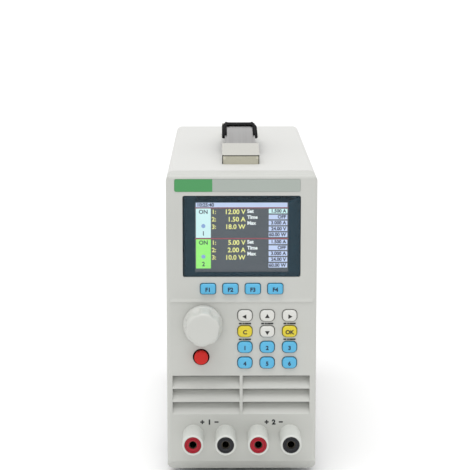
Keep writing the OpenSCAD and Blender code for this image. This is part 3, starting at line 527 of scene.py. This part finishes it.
class LOAD_OT_case(bpy.types.Operator):
    """Bezel, cover, tray, rear panel, label, feet and screws"""
    bl_idname = "dcload.case"
    bl_label = "Case"

    def execute(self, context):
        colours = context.scene.load_colours
        panel = make_finish("panel_plastic", colours.panel, 0.48, spread=0.03, grain=2500, bump=0.1)
        paint(panel, "front_bezel")
        cover = make_finish("cover_paint", colours.cover, 0.55, spread=0.025, grain=1400, bump=0.16)
        paint(cover, "wrap_cover", "rear_panel")
        paint(make_finish("tray_zinc", srgb(176, 178, 181), 0.42, 0.9, 0.12, 90), "base_tray")
        screws = make_finish("screw_steel", srgb(150, 152, 156), 0.34, 1.0, 0.1, 300)
        paint(screws, "case_screws", "bezel_screws", "foot_screws", "fan_screws", "handle_screws")
        paint(make_finish("foot_rubber", srgb(38, 38, 40), 0.8, bump=0.2), "rubber_feet")
        label = make_finish("label_film", colours.green_label, 0.3, spread=0.02, coat=0.3)
        across, _, _ = distances(label.node_tree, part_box("label_strip")[0])
        right = add_maths(label.node_tree, "GREATER_THAN", across, context.scene.load_sizes.label_split)
        lay_over(label, right, colours.grey_label, 0.02)
        paint(label, "label_strip")
        return {"FINISHED"}


class LOAD_OT_screen(bpy.types.Operator):
    """Window pane, frame print, panel and the picture on the screen"""
    bl_idname = "dcload.screen"
    bl_label = "Screen"

    # Places on the picture, as shares of its width from the left and of its height from the top
    tab_left, tab_right = 0.01, 0.17
    name_left, reading_right, word_left = 0.18, 0.54, 0.56
    box_left, box_right, box_text = 0.79, 0.99, 0.975
    channel_top, channel_step, tab_tall = 0.09, 0.441, 0.42
    reading_step, word_step, box_step, box_half = 0.107, 0.085, 0.0845, 0.033

    def execute(self, context):
        colours, sizes = context.scene.load_colours, context.scene.load_sizes
        paint(make_pane("window_pane"), "display_window")
        frame_print = make_finish("mask_print", colours.window_frame, 0.5, spread=0.05, specular=0.15)
        paint(frame_print, "display_mask")
        paint(make_finish("screen_glass", srgb(40, 44, 50), 0.3), "lcd_panel")
        low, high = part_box("lcd_panel")
        self.middle = middle_of("lcd_panel", low.y)
        self.width = high.x - low.x - 2 * sizes.screen_side
        self.height = high.z - low.z - 2 * sizes.screen_end
        self.layers = {name: bmesh.new() for name in SCREEN_TONES}
        self.head()
        for number, readings in enumerate(READINGS):
            self.channel(number, readings)
        for name, bm in self.layers.items():
            glow = make_glow("glow_" + name, srgb(*SCREEN_TONES[name]))
            add_piece("screen_" + name, film_mesh(bm), glow, "case")
        return {"FINISHED"}

    def spot(self, u, v, level):
        """Point of the picture at shares of its width and height, on a level of its layers."""
        return self.middle + Vector(((u - 0.5) * self.width, -level * LAYER, (0.5 - v) * self.height))

    def rect(self, layer, left, top, right, bottom, level=2):
        centre = self.spot((left + right) / 2, (top + bottom) / 2, level)
        plate(self.layers[layer], centre, (right - left) * self.width, (bottom - top) * self.height)

    def write(self, layer, text, size, u, v, align="CENTER", weight=0.03):
        letters(self.layers[layer], text, size * MM, self.spot(u, v, 3), align, weight)

    def head(self):
        """Ground, glowing grey partly with painted glare, header with the time, and the rules above the two
        channels.
        """
        self.rect("ground_and_glare", 0, 0, 1, 1, level=1)
        self.rect("header", self.tab_left, 0.006, self.box_right, 0.072)
        self.rect("rules", 0, 0.076, 1, 0.086)
        self.rect("rules", 0, 0.514, 1, 0.528)
        self.write("values", "10:25:40", 2.1, 0.02, 0.04, "LEFT", 0.05)

    def channel(self, number, readings):
        """Coloured tab, readings and set values of one channel."""
        top = self.channel_top + number * self.channel_step
        tab = (self.tab_left + self.tab_right) / 2
        self.rect(CHANNEL_TONES[number], self.tab_left, top, self.tab_right, top + self.tab_tall)
        self.write("values", "ON", 2.4, tab, top + 0.05)
        self.write("values", str(number + 1), 2.6, tab, top + 0.36)
        place = Matrix.Translation(self.spot(tab, top + 0.25, 3)) @ UPRIGHT
        bmesh.ops.create_circle(self.layers["dots"], cap_ends=True, segments=24, radius=1.2 * MM,
                                matrix=place)
        for row, text in enumerate(readings):
            v = top + 0.05 + row * self.reading_step
            self.write("digits", f"{row + 1}:", 2.6, self.name_left, v, "LEFT", 0.025)
            self.write("digits", text, 2.8, self.reading_right, v, "RIGHT", 0.025)
        for row, text in enumerate(LIMIT_NAMES):
            self.write("words", text, 2.1, self.word_left, top + 0.04 + row * self.word_step, "LEFT", 0.06)
        for row, text in enumerate(LIMITS):
            v = top + 0.038 + row * self.box_step
            layer = "boxes" if number or row else "cyan"
            self.rect(layer, self.box_left, v - self.box_half, self.box_right, v + self.box_half)
            self.write("values", text, 2.0, self.box_text, v, "RIGHT", 0.05)


class LOAD_OT_keys(bpy.types.Operator):
    """Key caps with their lettering, painted shade in the gaps around them and their captions"""
    bl_idname = "dcload.keys"
    bl_label = "Keys"

    def execute(self, context):
        colours = context.scene.load_colours
        self.sizes = context.scene.load_sizes
        blue_ink = make_finish("key_ink", srgb(10, 34, 62), 0.5, spread=0.1)
        dark_ink = make_finish("key_ink_dark", srgb(26, 25, 22), 0.5, spread=0.1)
        groups = (
            ("blue_key", colours.blue_key, 0.04, blue_ink, BLUE_KEYS),
            ("yellow_key", colours.yellow_key, 0.04, dark_ink, YELLOW_KEYS),
            ("white_key", colours.white_key, 0.03, dark_ink, ARROW_KEYS),
        )
        for slot, colour, spread, ink, nodes in groups:
            plastic = make_finish(slot, colour, 0.35, spread=spread, coat=0.2)
            for node in nodes:
                self.cap(node, plastic, slot)
                self.legend(node, ink, slot)
            # Painted shade for the gaps: the key's colour at a tenth of its brightness, shade with a tint of
            # the light that the key bounces into them.
            shadow = make_finish("painted_shade_" + slot, shade(colour, 0.1)[:3], 0.9, specular=0.0)
            self.gaps("painted_shade_films_" + slot, nodes, shadow)
        self.captions(make_finish("caption_ink", colours.ink, 0.6, spread=0.1))
        return {"FINISHED"}

    def corner(self, node):
        return self.sizes.soft_corner if node in SOFT_KEYS else self.sizes.pad_corner

    def cap(self, node, material, slot):
        """Crowned cap with a rounded edge, its lip behind the panel and its stem."""
        sizes, corner = self.sizes, self.corner(node)
        low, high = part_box(node)
        lip_front, lip_back = FACE_Y + LIP_FRONT * MM, FACE_Y + LIP_BACK * MM
        cap_root, stem_root = 0.5 * MM, 0.4 * MM
        rim = sizes.key_lip + sizes.key_trim
        cap_low = Vector((low.x + rim, low.y + sizes.key_crown + PROUD, low.z + rim))
        cap_high = Vector((high.x - rim, lip_front + cap_root, high.z - rim))
        bm = bmesh.new()
        block(bm, cap_low, cap_high, corner)
        edge = min(sizes.key_edge, corner / 2)
        bmesh.ops.bevel(bm, geom=list(self.front(bm).edges), offset=edge, segments=5, profile=0.5,
                        affect="EDGES", material=-1)
        for share in (0.62, 0.38):
            bmesh.ops.inset_region(bm, faces=[self.front(bm)], thickness=(corner - edge) * 0.42,
                                   depth=share * sizes.key_crown)
        block(bm, Vector((low.x, lip_front, low.z)), Vector((high.x, lip_back, high.z)), corner)
        length = high.y - lip_back + stem_root
        stem = Matrix.Translation(middle_of(node, high.y - length / 2)) @ UPRIGHT
        bmesh.ops.create_cone(bm, cap_ends=True, segments=24, radius1=sizes.key_stem, radius2=sizes.key_stem,
                              depth=length, matrix=stem)
        add_piece("cap_" + node, to_mesh(bm), material, node + "_cap", (node,))

    def front(self, bm):
        """Foremost face."""
        return min(bm.faces, key=lambda face: face.calc_center_median().y)

    def legend(self, node, material, slot):
        drop = 0.4 * MM
        centre = middle_of(node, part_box(node)[0].y) - Vector((0, 0, drop))
        bm = bmesh.new()
        if node in ARROW_KEYS:
            turn = Matrix.Rotation(math.radians(ARROW_KEYS[node]), 4, "Z")
            bmesh.ops.create_circle(bm, cap_ends=True, segments=3, radius=self.sizes.key_arrow,
                                    matrix=Matrix.Translation(centre) @ UPRIGHT @ turn)
        else:
            letters(bm, KEY_LEGENDS[node], self.sizes.key_text, centre, weight=0.06)
        add_piece("legend_" + node, film_mesh(bm), material, node + "_cap")

    def gaps(self, name, nodes, material):
        """Painted shade: dark films that sit in the gaps between the keys and the bezel, where shade falls.
        """
        sizes, sunk = self.sizes, 0.3 * MM
        lip = 2 * (sizes.key_lip - sizes.key_gap)
        bm = bmesh.new()
        for node in nodes:
            low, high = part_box(node)
            centre = middle_of(node, FACE_Y + sunk)
            plate(bm, centre, high.x - low.x - lip, high.z - low.z - lip, self.corner(node) + sizes.key_gap)
        hollow(bm, sizes.key_gap - 0.02 * MM)
        add_piece(name, film_mesh(bm), material, "case")

    def captions(self, material):
        """Rows of dashes above some keys."""
        first, step, above = -2.7, 1.85, 0.15
        bm = bmesh.new()
        for node in CAPTIONED_KEYS:
            low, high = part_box(node)
            middle = (low.x + high.x) / 2 / MM
            below = (TOP_Z - high.z) / MM - above
            for i, width in enumerate((1.75, 1.15, 2.15, 1.45)):
                plate(bm, on_panel(middle + first + i * step, below), width * MM, self.sizes.caption)
        add_piece("key_captions", film_mesh(bm), material, "case")


class LOAD_OT_controls(bpy.types.Operator):
    """Control knob and power button"""
    bl_idname = "dcload.controls"
    bl_label = "Knob and power button"

    def execute(self, context):
        colours, sizes = context.scene.load_colours, context.scene.load_sizes
        self.knob(sizes, make_finish("knob_plastic", colours.knob, 0.4, spread=0.02))
        self.power(sizes, make_finish("red_plastic", colours.red, 0.42, spread=0.05, specular=0.3))
        # Painted shade: a dark film in the gap around the power button.
        self.power_floor(sizes, make_finish("painted_shade_power", srgb(26, 22, 22), 0.9, specular=0.0))
        paint(make_finish("shaft_steel", srgb(168, 170, 174), 0.3, 1.0), "encoder_shaft")
        return {"FINISHED"}

    def knob(self, sizes, material):
        low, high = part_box("control_knob")
        centre = middle_of("control_knob", FACE_Y)
        skirt_r = (high.x - low.x) / 2 / MM
        reach, back = (FACE_Y - low.y) / MM, (FACE_Y - high.y) / MM
        face_r, edge, bore_r = sizes.knob_face / MM, sizes.knob_round / MM, sizes.knob_bore / MM
        bore_end = reach - 3
        waist, waist_r = back + 5.2, face_r + 0.95
        chamfer, crown = 0.4, 0.2
        profile = [(0, bore_end), (bore_r, bore_end), (bore_r, back)]
        profile += [(skirt_r - chamfer, back), (skirt_r, back + chamfer)]
        profile += arc(skirt_r - 1.1, back + 3.5, 1.0, 0, 70)
        profile += [(waist_r + 0.1, waist - 0.45), (waist_r, waist)]
        for step in range(1, 6):
            share = step / 6
            profile.append((waist_r + (face_r - waist_r) * share, waist + (reach - edge - waist) * share))
        profile += arc(face_r - edge, reach - edge, edge, 4, 84, 9)
        profile += [(face_r * k, reach - 0.18 * (1 - k) ** 0.7) for k in (0.68, 0.55, 0.4, 0.25, 0.12)]
        profile.append((0, reach - crown))
        bm = bmesh.new()
        lathe(bm, profile, centre, 144)
        self.flutes(bm, sizes, centre, back + 4.9)
        add_piece("knob_turned", to_mesh(bm), material, "knob", ("control_knob",))

    def flutes(self, bm, sizes, centre, start):
        """Presses finger flutes into the side of the knob from a reach outwards."""
        pitch, run, inner, soft = math.tau / FLUTES, 1.4, 4 * MM, 0.45 * MM
        for vert in bm.verts:
            x, z = vert.co.x - centre.x, vert.co.z - centre.z
            radius, angle = math.hypot(x, z), math.atan2(z, x)
            offset = (angle - FLUTE_TURN + pitch / 2) % pitch - pitch / 2
            side = sizes.flute_at * math.sin(offset)
            share = min(max(((FACE_Y - vert.co.y) / MM - start) / run, 0), 1)
            if share and radius > inner and abs(side) < sizes.flute_r:
                limit = sizes.flute_at * math.cos(offset) - math.sqrt(sizes.flute_r ** 2 - side ** 2)
                lowered = -soft * math.log(math.exp(-radius / soft) + math.exp(-limit / soft))
                scale = 1 + share * share * (3 - 2 * share) * (lowered / radius - 1)
                vert.co.x, vert.co.z = centre.x + x * scale, centre.z + z * scale

    def power_radii(self, sizes):
        """Radii of the button's lip and of its hole, and the gap inside the hole, in millimetres."""
        low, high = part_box("power_button")
        lip_r = (high.x - low.x) / 2 / MM
        return lip_r, lip_r - sizes.power_lip / MM, (sizes.power_gap + sizes.key_trim) / MM

    def power(self, sizes, material):
        low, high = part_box("power_button")
        lip_r, hole_r, gap = self.power_radii(sizes)
        radius, edge, stem_r = hole_r - gap, 0.7, 1.6
        reach, end = (FACE_Y - low.y) / MM, (FACE_Y - high.y) / MM
        profile = [(0, reach), (1.6, reach - 0.03), (2.8, reach - 0.1)]
        profile += arc(radius - edge, reach - edge - 0.2, edge, 75, 0)
        profile += [(radius, -LIP_FRONT), (lip_r, -LIP_FRONT), (lip_r, -LIP_BACK)]
        profile += [(stem_r, -LIP_BACK), (stem_r, end), (0, end)]
        bm = bmesh.new()
        lathe(bm, profile, middle_of("power_button", FACE_Y), 72)
        add_piece("power_cap", to_mesh(bm), material, "power_push", ("power_button",))

    def power_floor(self, sizes, material):
        """Painted shade: a dark film in the gap between the power button and the bezel, where shade falls."""
        _, hole_r, gap = self.power_radii(sizes)
        sunk = 0.5 * MM
        bm = bmesh.new()
        place = Matrix.Translation(middle_of("power_button", FACE_Y + sunk)) @ UPRIGHT
        bmesh.ops.create_circle(bm, cap_ends=True, segments=64, radius=hole_r * MM, matrix=place)
        hollow(bm, (gap - 0.02) * MM)
        add_piece("painted_shade_power", film_mesh(bm), material, "case")


class LOAD_OT_terminals(bpy.types.Operator):
    """Terminal sleeves, coloured collars, contacts and their legends"""
    bl_idname = "dcload.terminals"
    bl_label = "Input terminals"

    def execute(self, context):
        colours = context.scene.load_colours
        low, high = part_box("terminal_sleeves")
        radius = (high.z - low.z) / 2
        pitch = (high.x - low.x - 2 * radius) / 3
        first = Vector((low.x + radius, FACE_Y, (low.z + high.z) / 2))
        self.spots = [first + Vector((i * pitch, 0, 0)) for i in range(4)]
        self.reach = (FACE_Y - low.y) / MM
        sleeve = make_finish("sleeve_plastic", colours.sleeve, 0.42, spread=0.02)
        profile = self.sleeve(radius / MM)
        self.turned("sleeve_tubes", profile, range(4), sleeve, "panel_plastic", "terminal_sleeves")
        red = make_finish("collar_red", colours.red_collar, 0.45, spread=0.08, specular=0.3)
        black = make_finish("collar_black", colours.black_collar, 0.45, spread=0.08, specular=0.3)
        self.turned("collars_red", self.collar(), (0, 2), red, "red_plastic", "red_collars")
        self.turned("collars_black", self.collar(), (1, 3), black, "black_plastic", "black_collars")
        paint(make_finish("contact_brass", srgb(96, 90, 78), 0.4, 1.0, 0.15, 300), "contact_sockets")
        ink = make_finish("panel_ink", colours.ink, 0.6, spread=0.1)
        self.legends(context.scene.load_sizes.input_text, ink)
        return {"FINISHED"}

    def turned(self, name, profile, picks, material, slot, node):
        bm = bmesh.new()
        for i in picks:
            lathe(bm, profile, self.spots[i], 64, closed=True)
        add_piece(name, to_mesh(bm), material, "case", (node,))

    def sleeve(self, radius):
        edge, bore = 0.9, COLLAR_R + 0.05
        profile = [(radius, 0), *arc(radius - edge, self.reach - edge, edge, 0, 90)]
        return profile + [(bore + 0.15, self.reach), (bore, self.reach - 0.2), (bore, 0)]

    def collar(self):
        """Profile with a flange behind the panel, a groove in the face and a narrow mouth."""
        front, edge = self.reach - 0.4, 0.5
        tail_r, flange_r = COLLAR_R - 0.4, COLLAR_R + 0.85
        contact_r, mouth_r, mouth_end = 3.05, 2.4, front - 1.4
        profile = [(contact_r, -6), (tail_r, -6), (tail_r, -3), (flange_r, -3), (flange_r, 0), (COLLAR_R, 0)]
        profile += arc(COLLAR_R - edge, front - edge, edge, 0, 90)
        profile += [(3.95, front), (3.85, front - 0.3), (3.55, front - 0.3), (3.45, front)]
        profile += arc(mouth_r + edge, front - edge, edge, 90, 180)
        return profile + [(mouth_r, mouth_end), (contact_r, mouth_end)]

    def legends(self, size, material):
        above, apart = 7.5, 4.2
        below = (TOP_Z - self.spots[0].z) / MM - above
        bm = bmesh.new()
        for number, pair in enumerate((self.spots[:2], self.spots[2:]), 1):
            middle = (pair[0].x + pair[1].x) / 2 / MM
            for x, text in ((-apart, "+"), (0, str(number)), (apart, "−")):
                letters(bm, text, size, on_panel(middle + x, below), weight=0.09)
        add_piece("input_legends", film_mesh(bm), material, "case")


class LOAD_OT_handle(bpy.types.Operator):
    """Carrying handle: end caps, spring band and grip sleeve"""
    bl_idname = "dcload.handle"
    bl_label = "Handle"

    def execute(self, context):
        colours, sizes = context.scene.load_colours, context.scene.load_sizes
        paint(self.cap_finish(sizes, colours), "handle_cap_front", "handle_cap_rear")
        for node in ("handle_cap_front", "handle_cap_rear"):
            soften(node, sizes.cap_edge)
        band = make_finish("band_steel", colours.band, 0.36, 1.0, 0.22, 700, 1500, 0.1, (1, 0.008, 0.008))
        paint(band, "handle_band")
        grip = make_finish("grip_rubber", colours.grip, 0.75, spread=0.1, grain=2200, bump=0.2, specular=0.03)
        paint(grip, "handle_grip")
        return {"FINISHED"}

    def cap_finish(self, sizes, colours):
        """Chrome with a painted reflection, a duller beige tone, on the two outer faces and a painted dark
        reflection as a seam beside and above each.
        """
        chrome = make_finish("cap_chrome", colours.chrome, 0.16, 1.0, 0.04, 60, bump=0.02)
        tree = chrome.node_tree
        low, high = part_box("handle_cap_front")[0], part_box("handle_cap_rear")[1]
        half = (high - low) / 2
        across, along, up = distances(tree, (low.x + half.x, low.y + half.y, low.z))
        # Mask of the painted reflection on the outer faces of both caps.
        end = add_maths(tree, "GREATER_THAN", along, half.y - sizes.cap_corner)
        below = add_maths(tree, "LESS_THAN", up, sizes.cap_face + sizes.cap_seam)
        face = add_maths(tree, "MULTIPLY", end, below)
        # Mask of the painted dark reflection beside and above those faces.
        beside = add_maths(tree, "GREATER_THAN", across, half.x - sizes.cap_seam)
        above = add_maths(tree, "GREATER_THAN", up, sizes.cap_face)
        seam_reflection = add_maths(tree, "MULTIPLY", face, add_maths(tree, "MAXIMUM", beside, above))
        lay_over(chrome, face, colours.cap_face, 0.04)
        lay_over(chrome, seam_reflection, colours.cap_seam, 0.1)
        return chrome


class LOAD_OT_rear(bpy.types.Operator):
    """Fan with its wire guard, mains inlet and serial port"""
    bl_idname = "dcload.rear"
    bl_label = "Rear fittings"

    def execute(self, context):
        black = make_finish("fan_plastic", srgb(34, 35, 38), 0.45)
        paint(black, "fan_frame", "fan_rotor", "power_switch", "key_switches")
        paint(make_finish("inlet_plastic", srgb(26, 27, 29), 0.4, bump=0.05), "mains_inlet")
        nickel = make_finish("port_nickel", srgb(196, 198, 200), 0.26, 1.0, 0.08, 200)
        paint(nickel, "serial_port", "inlet_pins")
        self.guard(context.scene.load_sizes, nickel)
        return {"FINISHED"}

    def guard(self, sizes, material):
        """Rings of wire on four spokes that end in rings around the screws."""
        low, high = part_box("fan_guard")
        centre, wire = (low + high) / 2, sizes.wire / 2
        screw_at = ((high.x - low.x) / 2 - sizes.ear_edge) * math.sqrt(2)
        start, end = sizes.guard_r / GUARD_RINGS, screw_at - 3 * MM
        bm = bmesh.new()
        for ring in range(1, GUARD_RINGS + 1):
            self.hoop(bm, centre, ring * start, wire, 96)
        for turn in range(4):
            angle = math.radians(45 + 90 * turn)
            way = Vector((math.cos(angle), 0, math.sin(angle)))
            place = Matrix.Translation(centre + way * (start + end) / 2)
            place = place @ way.to_track_quat("Z", "Y").to_matrix().to_4x4()
            bmesh.ops.create_cone(bm, cap_ends=True, segments=16, radius1=wire, radius2=wire,
                                  depth=end - start, matrix=place)
            self.hoop(bm, centre + way * screw_at, sizes.ear_r, wire, 32)
        add_piece("guard_wire", to_mesh(bm), material, "case", ("fan_guard",))

    def hoop(self, bm, centre, radius, wire, steps):
        """Ring of wire in the plane of the rear panel."""
        place = Matrix.Translation(centre + Vector((radius, 0, 0)))
        verts = bmesh.ops.create_circle(bm, segments=14, radius=wire, matrix=place)["verts"]
        edges = list({e for v in verts for e in v.link_edges})
        bmesh.ops.spin(bm, geom=verts + edges, cent=centre, axis=(0, 1, 0), angle=math.tau, steps=steps,
                       use_merge=True)


class LOAD_OT_inside(bpy.types.Operator):
    """Boards, heatsinks and other parts inside the case"""
    bl_idname = "dcload.inside"
    bl_label = "Inside"

    def execute(self, context):
        board = make_finish("board_green", srgb(31, 107, 58), 0.4, spread=0.12, patch=200)
        paint(board, "control_board", "power_board")
        aluminium = make_finish("sink_aluminium", srgb(176, 178, 182), 0.4, 1.0, 0.06, 60)
        paint(aluminium, "heatsink_left", "heatsink_right")
        paint(make_finish("transistor_body", srgb(32, 33, 35), 0.5), "power_transistors")
        steel = make_finish("inner_steel", srgb(176, 178, 181), 0.35, 1.0)
        paint(steel, "chassis_pillars", "encoder_body", "terminal_nuts")
        paint(make_finish("busbar_copper", srgb(190, 122, 80), 0.35, 1.0, 0.12, 120), "input_busbars")
        paint(make_finish("core_iron", srgb(108, 92, 58), 0.55, 0.3, 0.2, 150), "mains_transformer")
        paint(make_finish("capacitor_can", srgb(38, 50, 74), 0.4), "filter_capacitors")
        return {"FINISHED"}


STEPS = (LOAD_OT_stage, LOAD_OT_case, LOAD_OT_screen, LOAD_OT_keys, LOAD_OT_controls, LOAD_OT_terminals,
         LOAD_OT_handle, LOAD_OT_rear, LOAD_OT_inside)


class LOAD_PT_panel(bpy.types.Panel):
    """Sizes, colours and building steps of the load"""
    bl_label = "DC Electronic Load"
    bl_idname = "LOAD_PT_panel"
    bl_space_type = "VIEW_3D"
    bl_region_type = "UI"
    bl_category = "Load"

    def draw(self, context):
        scene = context.scene
        for group in (scene.load_sizes, scene.load_colours, scene.load_stage):
            column = self.layout.column()
            for name in group.__annotations__:
                column.prop(group, name)
        for step in STEPS:
            self.layout.operator(step.bl_idname)


CLASSES = (LoadSizes, LoadColours, StageSettings, *STEPS, LOAD_PT_panel)


def register():
    for cls in CLASSES:
        bpy.utils.register_class(cls)
    bpy.types.Scene.load_sizes = PointerProperty(type=LoadSizes)
    bpy.types.Scene.load_colours = PointerProperty(type=LoadColours)
    bpy.types.Scene.load_stage = PointerProperty(type=StageSettings)


def unregister():
    del bpy.types.Scene.load_stage
    del bpy.types.Scene.load_colours
    del bpy.types.Scene.load_sizes
    for cls in reversed(CLASSES):
        bpy.utils.unregister_class(cls)


def main():
    register()
    bpy.ops.dcload.stage()
    bpy.ops.dcload.case()
    bpy.ops.dcload.screen()
    bpy.ops.dcload.keys()
    bpy.ops.dcload.controls()
    bpy.ops.dcload.terminals()
    bpy.ops.dcload.handle()
    bpy.ops.dcload.rear()
    bpy.ops.dcload.inside()


if __name__ == "__main__":
    main()
